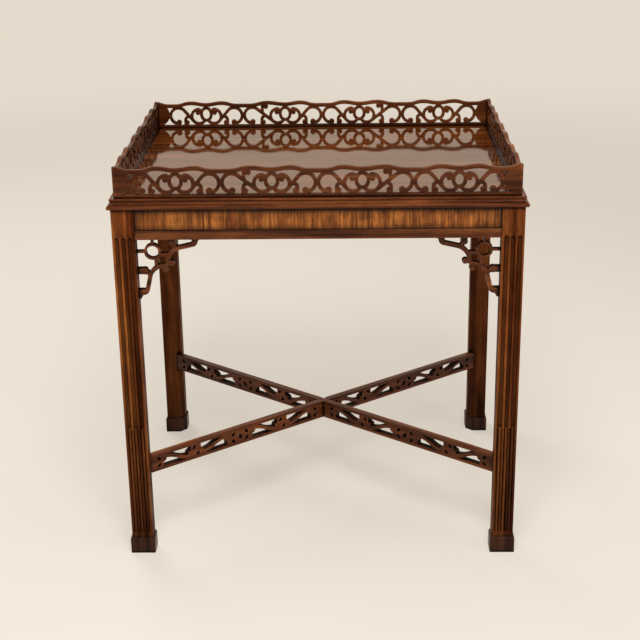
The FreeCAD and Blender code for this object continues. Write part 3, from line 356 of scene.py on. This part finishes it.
reed_wood = waxed_mahogany("waxed mahogany, reeds", UPRIGHT_GRAIN, REED_TONES, rough=0.45, shine=0.05,
                           borders=(DARKER_TOWARDS_FOOT,))
reeds = reed_tree()
for corner in CORNERS:
    low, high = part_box(f"leg_{corner}")
    foot_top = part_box(f"foot_{corner}")[1].z
    outer_x = low.x if corner.endswith("left") else high.x
    outer_y = low.y if corner.startswith("front") else high.y
    middle = (low + high) / 2
    points = []
    for number in (-1, 0, 1):
        across = number * FLUTE_SPACING
        inward_x = math.copysign(REED_SINK, -outer_x)
        inward_y = math.copysign(REED_SINK, -outer_y)
        points.append((middle.x + across, outer_y + inward_y, foot_top))
        points.append((outer_x + inward_x, middle.y + across, foot_top))
    rod = grown(points, reeds, {"Length": REED_TOP - foot_top, "Radius": REED_RADIUS, "Wood": reed_wood},
                f"reeds_{corner}", reed_wood)
    for face in rod.data.polygons:
        face.use_smooth = True

# Feet
# Block feet of mahogany, glued on a stub tenon under each leg, with a small bevel round the top.
# They catch most of the dirt of the floor, so they are the darkest of the frame.
FOOT_EDGE = 0.0009
FOOT_TONES = ((0.013, 0.0036, 0.0015), (0.038, 0.0115, 0.0048), (0.075, 0.0245, 0.0095))

foot_wood = waxed_mahogany("waxed mahogany, feet", UPRIGHT_GRAIN, FOOT_TONES, rough=0.38)
for corner in CORNERS:
    eased(f"foot_{corner}", f"block_foot_{corner}", FOOT_EDGE, 2, foot_wood)

# Aprons
# Four rails tenoned into the legs. Outside they carry a sheet of ribbon-figured veneer, laid with
# its stripes upright, over a plain strip; inside they are left from the plane, stained dark.
SIDES = ("front", "right", "back", "left")
GRAIN_ALONG = {"front": (0, 0, 0), "back": (0, 0, 0),
               "right": (0, 0, math.radians(-90)), "left": (0, 0, math.radians(-90))}
CORE_TONES = ((0.026, 0.0085, 0.0034), (0.070, 0.024, 0.0095), (0.115, 0.043, 0.017))
STRIP_TONES = ((0.027, 0.0063, 0.0018), (0.084, 0.0228, 0.0066), (0.160, 0.049, 0.0135))
VENEER_TONES = ((0.062, 0.0154, 0.0033), (0.164, 0.0480, 0.0096), (0.312, 0.1070, 0.0230))
STRIP_EDGE = 0.0007
DARK_END = 0.030
DARK_EDGE = 0.011

for side in SIDES:
    low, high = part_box(f"apron_veneer_{side}")
    # Painted shade darkens the veneer towards its ends beside the legs, and along its top and bottom edges
    # under the moulding and over the strip
    ends = ("X", 0, high.x, DARK_END) if side in ("front", "back") else ("Y", 0, high.y, DARK_END)
    edges = ("Z", (low.z + high.z) / 2, (high.z - low.z) / 2, DARK_EDGE)
    veneer_wood = waxed_mahogany(f"ribbon-figured veneer, {side}", UPRIGHT_GRAIN, VENEER_TONES, streaks=230,
                                 run=10, clouding=(32, 44, 0.45), wear_and_highlight=0, borders=(ends, edges))
    core_wood = waxed_mahogany(f"planed mahogany, {side}", GRAIN_ALONG[side], CORE_TONES, rough=0.55)
    strip_wood = waxed_mahogany(f"waxed strip, {side}", GRAIN_ALONG[side], STRIP_TONES)
    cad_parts[f"apron_{side}"].material_slots[0].material = core_wood
    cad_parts[f"apron_veneer_{side}"].material_slots[0].material = veneer_wood
    eased(f"apron_strip_{side}", f"plain_strip_{side}", STRIP_EDGE, 2, strip_wood)

# Fret brackets
# Sawn from a mahogany board with a fretsaw, the edges rounded with a file, and glued into the corner
# under each apron.
FRET_TONES = ((0.019, 0.0040, 0.0011), (0.072, 0.0178, 0.0048), (0.160, 0.0470, 0.0120))
FRET_EDGE = 0.0012
OUTWARD = {"front": Vector((0, -1, 0)), "right": Vector((1, 0, 0)),
           "back": Vector((0, 1, 0)), "left": Vector((-1, 0, 0))}
FLATNESS = 0.00001
SHORT_STEP = 0.0001
GLUED_DEPTH = 0.0015
WALL_SLOPE = 0.6
SAW_CUT = 0.0009
SHARP_TURN = math.radians(100)
LONGEST_CORNER = 0.005
MARK_SPACING = 0.001
MILLIMETRE = 0.001
FILED_STEPS = 2


def sawn_outline(node, outward):
    """The closed lines round the face of a flat solid that looks towards `outward`."""
    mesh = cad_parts[node].data
    reach = max(vertex.co.dot(outward) for vertex in mesh.vertices)
    steps = set()
    for face in mesh.polygons:
        ring = [mesh.vertices[index].co for index in face.vertices]
        if all(reach - point.dot(outward) < FLATNESS for point in ring):
            keys = [tuple(round(value, 6) for value in point) for point in ring]
            steps.update(zip(keys, keys[1:] + keys[:1]))
    onward = {start: end for start, end in steps if (end, start) not in steps}
    lines = []
    while onward:
        first = min(onward)
        line = []
        point = first
        while point in onward:
            if not line or (Vector(point) - line[-1]).length > SHORT_STEP:
                line.append(Vector(point))
            point = onward.pop(point)
        lines.append(line)
    return lines


def blunted(line):
    """A closed flat line whose sharp corners end as wide as the saw's cut."""
    count = len(line)

    def walked(start, way, distance):
        """The place at a distance along the line from one of its points, and the last point passed."""
        passed = start
        while True:
            here = Vector(line[passed % count])
            ahead = Vector(line[(passed + way) % count])
            step = (ahead - here).length
            if step >= distance:
                return here.lerp(ahead, distance / step), passed
            distance -= step
            passed += way

    dropped = set()
    flats = {}
    for number in range(count):
        before, corner, after = [Vector(line[(number + shift) % count]) for shift in (-1, 0, 1)]
        if (corner - before).angle(after - corner) < SHARP_TURN:
            continue
        distance = SAW_CUT / 2
        start, first = walked(number, -1, distance)
        end, last = walked(number, 1, distance)
        while (end - start).length < SAW_CUT and distance < LONGEST_CORNER:
            distance += SAW_CUT / 8
            start, first = walked(number, -1, distance)
            end, last = walked(number, 1, distance)
        dropped.update(passed % count for passed in range(first, last + 1))
        flats[first % count] = [list(start), list(end)]
    kept = []
    for number, point in enumerate(line):
        kept += flats.get(number, [])
        if number not in dropped:
            kept.append(point)
    return kept


def fretted(node, name, outward, edge, glued, material, mitre=0.0, shaded_upward_walls=False, stained=1.0):
    """A sawn board with its edges rounded by a file.

    `glued` names the sides of the board, seen from outside, that run on into its neighbours.
    With `mitre`, the size of the rubbed corner, both ends are cut to 45 degrees. The walls of the
    holes are dark end grain with painted shade on it, and where the board has `shaded_upward_walls` all
    walls that look up carry painted shade. `stained` is how strongly those walls are darkened.
    """
    along = Vector((-outward.y, outward.x, 0))
    solid = [vertex.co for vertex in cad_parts[node].data.vertices]
    face = max(point.dot(outward) for point in solid)
    thickness = face - min(point.dot(outward) for point in solid)
    lines = [blunted([[point.dot(along), point.z] for point in line]) for line in sawn_outline(node, outward)]
    points = [point for line in lines for point in line]
    reaches = [point[0] for point in points]
    heights = [point[1] for point in points]
    limits = {"left": (0, min(reaches), -1), "right": (0, max(reaches), 1),
              "bottom": (1, min(heights), -1), "top": (1, max(heights), 1)}
    half_length = limits["right"][1]
    rim = max(lines, key=lambda line: max(point[0] for point in line) - min(point[0] for point in line))
    for side in glued:
        axis, limit, way = limits[side]
        for point in points:
            if abs(point[axis] - limit) < FLATNESS:
                point[axis] += way * GLUED_DEPTH

    # The outline is drawn in millimetres, where the fill keeps small gaps open
    outline = bpy.data.curves.new(name, "CURVE")
    outline.dimensions = "2D"
    outline.fill_mode = "BOTH"
    outline.extrude = (thickness / 2 - edge) / MILLIMETRE
    outline.bevel_depth = edge / MILLIMETRE
    outline.bevel_resolution = FILED_STEPS
    outline.offset = -edge / MILLIMETRE
    for line in lines:
        spline = outline.splines.new("POLY")
        spline.points.add(len(line) - 1)
        for place, point in zip(spline.points, line):
            place.co = (point[0] / MILLIMETRE, point[1] / MILLIMETRE, 0, 1)
        spline.use_cyclic_u = True
    drawn = bpy.data.objects.new(name, outline)
    mesh = bpy.data.meshes.new_from_object(drawn)
    bpy.data.objects.remove(drawn)
    mesh.name = name

    # Each wall is near a mark on the line that it was sawn along
    marks = []
    for line in lines:
        for start, end in zip(line, line[1:] + line[:1]):
            count = math.ceil(math.dist(start, end) / MARK_SPACING)
            for step in range(count):
                marks.append((Vector(start).lerp(Vector(end), step / count), line is not rim))
    cuts = KDTree(len(marks))
    for number, (mark, in_hole) in enumerate(marks):
        cuts.insert((*mark, 0), number)
    cuts.balance()

    shell = bmesh.new()
    shell.from_mesh(mesh)
    for vertex in shell.verts:
        across, up, proud = vertex.co * MILLIMETRE
        depth = thickness / 2 - proud
        if mitre:
            end = half_length - max(depth, mitre - depth)
            across = max(-end, min(end, across))
        vertex.co = along * across + outward * (face - depth)
        vertex.co.z = up
    bmesh.ops.remove_doubles(shell, verts=shell.verts, dist=2 * SAME_PLACE)
    bmesh.ops.recalc_face_normals(shell, faces=shell.faces)
    sawn = shell.faces.layers.float.new("sawn")
    for patch in shell.faces:
        patch.smooth = True
        # Hole walls are marked for dark end grain with painted shade, and on boards shaded from above the
        # walls that look up are marked for painted shade
        if abs(patch.normal.dot(outward)) < WALL_SLOPE:
            middle = patch.calc_center_median()
            in_hole = marks[cuts.find((middle.dot(along), middle.z, 0))[1]][1]
            patch[sawn] = stained * float(in_hole or shaded_upward_walls and patch.normal.z > 0)
    shell.to_mesh(mesh)
    shell.free()
    piece = show(mesh, name, material)
    piece.modifiers.new("flat faces", "WEIGHTED_NORMAL")
    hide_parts(node)
    return piece


for side in SIDES:
    fret_wood = waxed_mahogany(f"fretted mahogany, {side}", GRAIN_ALONG[side], FRET_TONES, shine=0.15,
                               wear_and_highlight=0.9)
    for hand in ("left", "right"):
        # The walls of the brackets that look up are given painted shade, as they lie under the aprons
        fretted(f"bracket_{side}_{hand}", f"fret_bracket_{side}_{hand}", OUTWARD[side], FRET_EDGE,
                ("top", hand), fret_wood, shaded_upward_walls=True)

# Stretchers
# Two pierced bars of mahogany that run from leg to leg on the diagonals. They are tenoned into the
# planed inner corners of the legs and halved into each other where they cross.
STRETCHER_TONES = ((0.024, 0.0048, 0.0011), (0.092, 0.0228, 0.0055), (0.200, 0.0590, 0.0145))
STRETCHER_EDGE = 0.0010
UPRIGHT_SLOPE = 0.5


def upright_area(face):
    """The area of an upright face, and nothing for one that looks up or down."""
    return face.area * (abs(face.normal.z) < UPRIGHT_SLOPE)


for name in ("front_left_back_right", "back_left_front_right"):
    broad = max(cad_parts[f"stretcher_{name}"].data.polygons, key=upright_area)
    outward = Vector((broad.normal.x, broad.normal.y, 0)).normalized()
    turn = -math.atan2(outward.x, -outward.y)
    bar_wood = waxed_mahogany(f"stretcher mahogany, {name}", (0, 0, turn), STRETCHER_TONES, rough=0.28,
                              shine=0.14, wear_and_highlight=0.9)
    fretted(f"stretcher_{name}", f"pierced_{name}", outward, STRETCHER_EDGE, ("left", "right"),
            bar_wood)

# Glue blocks
# Offcuts of pale softwood, rubbed into the corners behind the legs with hot glue and left from the
# saw. They stiffen the frame and take the screws.
BLOCK_TONES = ((0.150, 0.078, 0.034), (0.260, 0.150, 0.070), (0.370, 0.225, 0.115))
BLOCK_EDGE = 0.0006

block_wood = waxed_mahogany("sawn softwood", UPRIGHT_GRAIN, BLOCK_TONES, rough=0.7)
for corner in CORNERS:
    eased(f"glue_block_{corner}", f"corner_block_{corner}", BLOCK_EDGE, 1, block_wood)

# Screws
# Eight slotted steel screws go up through the glue blocks and hold the top. Their steel has gone
# dull, with a few specks of rust.
HEAD_RADIUS = 0.004
HEAD_HEIGHT = 0.0026
SLOT_WIDTH = 0.001
SLOT_DEPTH = 0.0012
SHANK_RADIUS = 0.002
HEAD_SIDES = 28
STEEL_TONE = (0.33, 0.31, 0.28, 1)
RUST_TONE = (0.16, 0.085, 0.045, 1)
SPECKS_PER_METRE = 900
SPECK_STOPS = (0.4, 0.7)
STEEL_ROUGHNESS = (0.35, 0.7)
STEEL_METALLIC = 0.9


def screw_tree():
    """Stands a slotted screw, head down, on each point, which is the middle of its head's flat."""
    tree, given = new_tree("screws", ("Head radius", "Head height", "Slot width", "Slot depth",
                                      "Shank radius", "Shank length"), "Steel")
    link = tree.links.new

    def math_node(operation, first, second):
        """The result of a sum on two sockets or numbers."""
        node = add_node(tree, "ShaderNodeMath", operation=operation)
        for socket, value in zip(node.inputs, (first, second)):
            if isinstance(value, (int, float)):
                socket.default_value = value
            else:
                link(value, socket)
        return node.outputs["Value"]

    def lifted(geometry, height):
        """Geometry moved up by a height."""
        place = add_node(tree, "ShaderNodeCombineXYZ")
        moved = add_node(tree, "GeometryNodeTransform")
        link(height, place.inputs["Z"])
        link(geometry, moved.inputs["Geometry"])
        link(place.outputs["Vector"], moved.inputs["Translation"])
        return moved.outputs["Geometry"]

    head = add_node(tree, "GeometryNodeMeshCylinder", Vertices=HEAD_SIDES)
    link(given.outputs["Head radius"], head.inputs["Radius"])
    link(given.outputs["Head height"], head.inputs["Depth"])
    slot = add_node(tree, "GeometryNodeMeshCube")
    slot_size = add_node(tree, "ShaderNodeCombineXYZ")
    link(given.outputs["Slot width"], slot_size.inputs["X"])
    link(math_node("MULTIPLY", given.outputs["Head radius"], 3), slot_size.inputs["Y"])
    link(math_node("MULTIPLY", given.outputs["Slot depth"], 2), slot_size.inputs["Z"])
    link(slot_size.outputs["Vector"], slot.inputs["Size"])
    shank = add_node(tree, "GeometryNodeMeshCylinder", Vertices=HEAD_SIDES // 2)
    link(given.outputs["Shank radius"], shank.inputs["Radius"])
    link(given.outputs["Shank length"], shank.inputs["Depth"])

    whole_head = lifted(head.outputs["Mesh"], math_node("MULTIPLY", given.outputs["Head height"], 0.5))
    slotted = add_node(tree, "GeometryNodeMeshBoolean", operation="DIFFERENCE")
    link(whole_head, slotted.inputs["Mesh 1"])
    link(slot.outputs["Mesh"], slotted.inputs["Mesh 2"])
    shank_middle = math_node("ADD", given.outputs["Head height"],
                             math_node("MULTIPLY", given.outputs["Shank length"], 0.5))
    whole = add_node(tree, "GeometryNodeJoinGeometry")
    link(slotted.outputs["Mesh"], whole.inputs["Geometry"])
    link(lifted(shank.outputs["Mesh"], shank_middle), whole.inputs["Geometry"])
    set_out(tree, given, whole.outputs["Geometry"], "Steel")
    return tree


def dull_steel():
    """Grey steel with a few specks of rust."""
    material = bpy.data.materials.new("dull steel")
    material.use_nodes = True
    tree = material.node_tree
    link = tree.links.new
    shader = tree.nodes["Principled BSDF"]
    shader.inputs["Metallic"].default_value = STEEL_METALLIC
    place = add_node(tree, "ShaderNodeTexCoord")
    specks = add_node(tree, "ShaderNodeTexNoise", Scale=SPECKS_PER_METRE, Detail=3)
    ramp = add_node(tree, "ShaderNodeValToRGB")
    for element, position, tone in zip(ramp.color_ramp.elements, SPECK_STOPS, (STEEL_TONE, RUST_TONE)):
        element.position = position
        element.color = tone
    rough = add_node(tree, "ShaderNodeMapRange")
    rough.inputs["To Min"].default_value = STEEL_ROUGHNESS[0]
    rough.inputs["To Max"].default_value = STEEL_ROUGHNESS[1]
    link(place.outputs["Object"], specks.inputs["Vector"])
    link(specks.outputs["Fac"], ramp.inputs["Fac"])
    link(specks.outputs["Fac"], rough.inputs["Value"])
    link(ramp.outputs["Color"], shader.inputs["Base Color"])
    link(rough.outputs["Result"], shader.inputs["Roughness"])
    return material


low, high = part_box("top_screws")
corners = [vertex.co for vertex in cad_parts["top_screws"].data.vertices]
heads = [corner for corner in corners if corner.z < low.z + HEAD_HEIGHT / 2]
points = []
for head in heads:
    near = [other for other in heads if (other - head).length < 3 * HEAD_RADIUS]
    point = [0, 0, low.z]
    for axis in (0, 1):
        places = [other[axis] for other in near]
        point[axis] = round((min(places) + max(places)) / 2, 5)
    if point not in points:
        points.append(point)
steel = dull_steel()
screw_sizes = {"Head radius": HEAD_RADIUS, "Head height": HEAD_HEIGHT, "Slot width": SLOT_WIDTH,
               "Slot depth": SLOT_DEPTH, "Shank radius": SHANK_RADIUS,
               "Shank length": high.z - low.z - HEAD_HEIGHT, "Steel": steel}
screws = grown(points, screw_tree(), screw_sizes, "slotted_screws", steel)
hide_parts("top_screws")

# Top board
# One wide board of mahogany, the floor of the tray, held from below by the screws. Many coats of
# polish have brought it to a mirror.
TOP_TONES = ((0.034, 0.0070, 0.0012), (0.072, 0.0175, 0.0032), (0.132, 0.0385, 0.0070))

top_wood = waxed_mahogany("mirror-polished mahogany", (0, 0, 0), TOP_TONES, streaks=75, run=3,
                          clouding=(6, 14, 0.25), rough=0.05, shine=1, polish=(1, 0.6, 0.3), pore_depth=0)
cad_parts["top_board"].material_slots[0].material = top_wood

# Top moulding
# Four lengths of mahogany run with a moulding plane: a fillet, a cove and a bead. They are mitred
# at the corners and glued round the edge of the top board.
MOULDING_EDGE = 0.0004
EDGE_TONES = ((0.015, 0.0031, 0.0008), (0.057, 0.0138, 0.0035), (0.128, 0.0370, 0.0090))
# How far painted shade reaches from the hollows of the moulding and gallery
EDGE_SHADE_REACH = 0.003

for side in SIDES:
    moulding_wood = waxed_mahogany(f"moulded mahogany, {side}", GRAIN_ALONG[side], EDGE_TONES, rough=0.28,
                                   shine=0.12, hollow_shade_reach=EDGE_SHADE_REACH, wear_and_highlight=0.7)
    eased(f"top_moulding_{side}", f"edge_moulding_{side}", MOULDING_EDGE, 2, moulding_wood)

# Gallery
# Four pierced boards with a wavy top edge, mitred at the corners and glued into a groove in the
# top. The scrolls are sawn, then rounded with files.
GALLERY_EDGE = 0.0012
RUBBED_CORNER = 0.0010
# How dark the gallery's hole walls are painted, end grain and shade together
GALLERY_WALL_DARKNESS = 0.55

for side in SIDES:
    gallery_wood = waxed_mahogany(f"gallery mahogany, {side}", GRAIN_ALONG[side], EDGE_TONES, rough=0.28,
                                  shine=0.12, hollow_shade_reach=EDGE_SHADE_REACH, wear_and_highlight=0.9)
    fretted(f"gallery_{side}", f"pierced_gallery_{side}", OUTWARD[side], GALLERY_EDGE,
            ("left", "right", "bottom"), gallery_wood, RUBBED_CORNER, stained=GALLERY_WALL_DARKNESS)

# Studio
# A pale floor that fades into an even pale distance, soft lamps, and the camera. None of it is part
# of the table.
FLOOR_TONE = (0.65, 0.60, 0.525)
FLOOR_ROUGHNESS = 0.9
DISTANCE_TONE = (0.78, 0.70, 0.595)
FLOOR_RADIUS = 60.0
FADE_START = 1.4
FADE_END = 4.5
FADE_NEAR = 0.55
FLOOR_SIDES = 96


def looked_at(tree):
    """One for what the camera sees, straight, in a shine or through something clear, and zero for light."""
    ray = add_node(tree, "ShaderNodeLightPath")
    any_of = ray.outputs["Is Camera Ray"]
    for kind in ("Is Glossy Ray", "Is Transmission Ray"):
        either = add_node(tree, "ShaderNodeMath", operation="MAXIMUM")
        tree.links.new(any_of, either.inputs[0])
        tree.links.new(ray.outputs[kind], either.inputs[1])
        any_of = either.outputs["Value"]
    return any_of


rim = [(FLOOR_RADIUS * math.cos(2 * math.pi * step / FLOOR_SIDES),
        FLOOR_RADIUS * math.sin(2 * math.pi * step / FLOOR_SIDES), 0.0) for step in range(FLOOR_SIDES)]
sheet = bpy.data.meshes.new("pale_floor")
sheet.from_pydata(rim, [], [list(range(FLOOR_SIDES))])
floor = bpy.data.objects.new("pale_floor", sheet)
bpy.context.scene.collection.objects.link(floor)

# The floor takes the table's shadow, and gives way to the pale distance further out
matt = bpy.data.materials.new("matt floor")
matt.use_nodes = True
link = matt.node_tree.links.new
near = matt.node_tree.nodes["Principled BSDF"]
near.inputs["Base Color"].default_value = (*FLOOR_TONE, 1)
near.inputs["Roughness"].default_value = FLOOR_ROUGHNESS
near.inputs["Specular IOR Level"].default_value = 0
far = add_node(matt.node_tree, "ShaderNodeEmission", Color=(*DISTANCE_TONE, 1))
place = add_node(matt.node_tree, "ShaderNodeTexCoord")
away = add_node(matt.node_tree, "ShaderNodeVectorMath", operation="LENGTH")
fade = add_node(matt.node_tree, "ShaderNodeMapRange", interpolation_type="SMOOTHSTEP")
fade.inputs["From Min"].default_value = FADE_START
fade.inputs["From Max"].default_value = FADE_END
fade.inputs["To Min"].default_value = FADE_NEAR
both = add_node(matt.node_tree, "ShaderNodeMixShader")
seen = add_node(matt.node_tree, "ShaderNodeMath", operation="MULTIPLY")
link(place.outputs["Object"], away.inputs[0])
link(away.outputs["Value"], fade.inputs["Value"])
link(fade.outputs["Result"], seen.inputs[0])
link(looked_at(matt.node_tree), seen.inputs[1])
link(seen.outputs["Value"], both.inputs[0])
link(near.outputs["BSDF"], both.inputs[1])
link(far.outputs["Emission"], both.inputs[2])
link(both.outputs["Shader"], matt.node_tree.nodes["Material Output"].inputs["Surface"])
sheet.materials.append(matt)

# Each lamp's name, place, width and power. None is mirrored in the polish, where it would leave a
# white patch in the tray.
LAMPS = (
    ("key", (0.05, -1.7, 2.6), 1.2, 88),
    ("front", (0.4, -2.8, 1.0), 1.2, 16),
    ("fill", (2.4, -1.5, 1.9), 1.6, 24),
    ("back", (-1.5, 2.1, 2.4), 1.6, 55),
    ("top", (0.0, 0.3, 4.2), 3.6, 80),
)
AIM = Vector((0, 0, 0.4))

for name, spot, width, power in LAMPS:
    lamp = bpy.data.lights.new(name, "AREA")
    lamp.size = width
    lamp.energy = power
    stand = bpy.data.objects.new(name, lamp)
    stand.location = spot
    stand.visible_camera = False
    stand.visible_glossy = False
    stand.rotation_euler = (AIM - Vector(spot)).to_track_quat("-Z", "Y").to_euler()
    bpy.context.scene.collection.objects.link(stand)

# The distance is pale to the camera and in the polish, and dim as a light
ROOM_TONE = (0.10, 0.096, 0.092)

world = bpy.data.worlds.new("room")
world.use_nodes = True
tone = add_node(world.node_tree, "ShaderNodeMix", data_type="RGBA")
dim, pale = [socket for socket in tone.inputs if socket.type == "RGBA"]
dim.default_value = (*ROOM_TONE, 1)
pale.default_value = (*DISTANCE_TONE, 1)
mixed = [socket for socket in tone.outputs if socket.type == "RGBA"][0]
link = world.node_tree.links.new
link(looked_at(world.node_tree), tone.inputs[0])
link(mixed, world.node_tree.nodes["Background"].inputs["Color"])
bpy.context.scene.world = world

# The camera stands where the photograph was taken from
CAMERA_PLACE = Vector((0.0520, -2.4208, 1.3004))
CAMERA_PITCH = math.radians(19.504)
CAMERA_YAW = math.radians(1.309)
CAMERA_ROLL = math.radians(-0.804)
SENSOR_WIDTH = 36
FOCAL_PIXELS = 1309.1
FRAME_PIXELS = 640
CENTRE_ROW = 280

eye = bpy.data.cameras.new("camera")
eye.sensor_width = SENSOR_WIDTH
eye.lens = FOCAL_PIXELS * SENSOR_WIDTH / FRAME_PIXELS
eye.shift_y = (CENTRE_ROW - FRAME_PIXELS / 2) / FRAME_PIXELS
camera = bpy.data.objects.new("camera", eye)
camera.matrix_world = (Matrix.Translation(CAMERA_PLACE) @ Matrix.Rotation(CAMERA_YAW, 4, "Z")
                       @ Matrix.Rotation(math.pi / 2 - CAMERA_PITCH, 4, "X")
                       @ Matrix.Rotation(CAMERA_ROLL, 4, "Z"))
bpy.context.scene.collection.objects.link(camera)
bpy.context.scene.camera = camera
bpy.context.scene.view_settings.view_transform = "Standard"
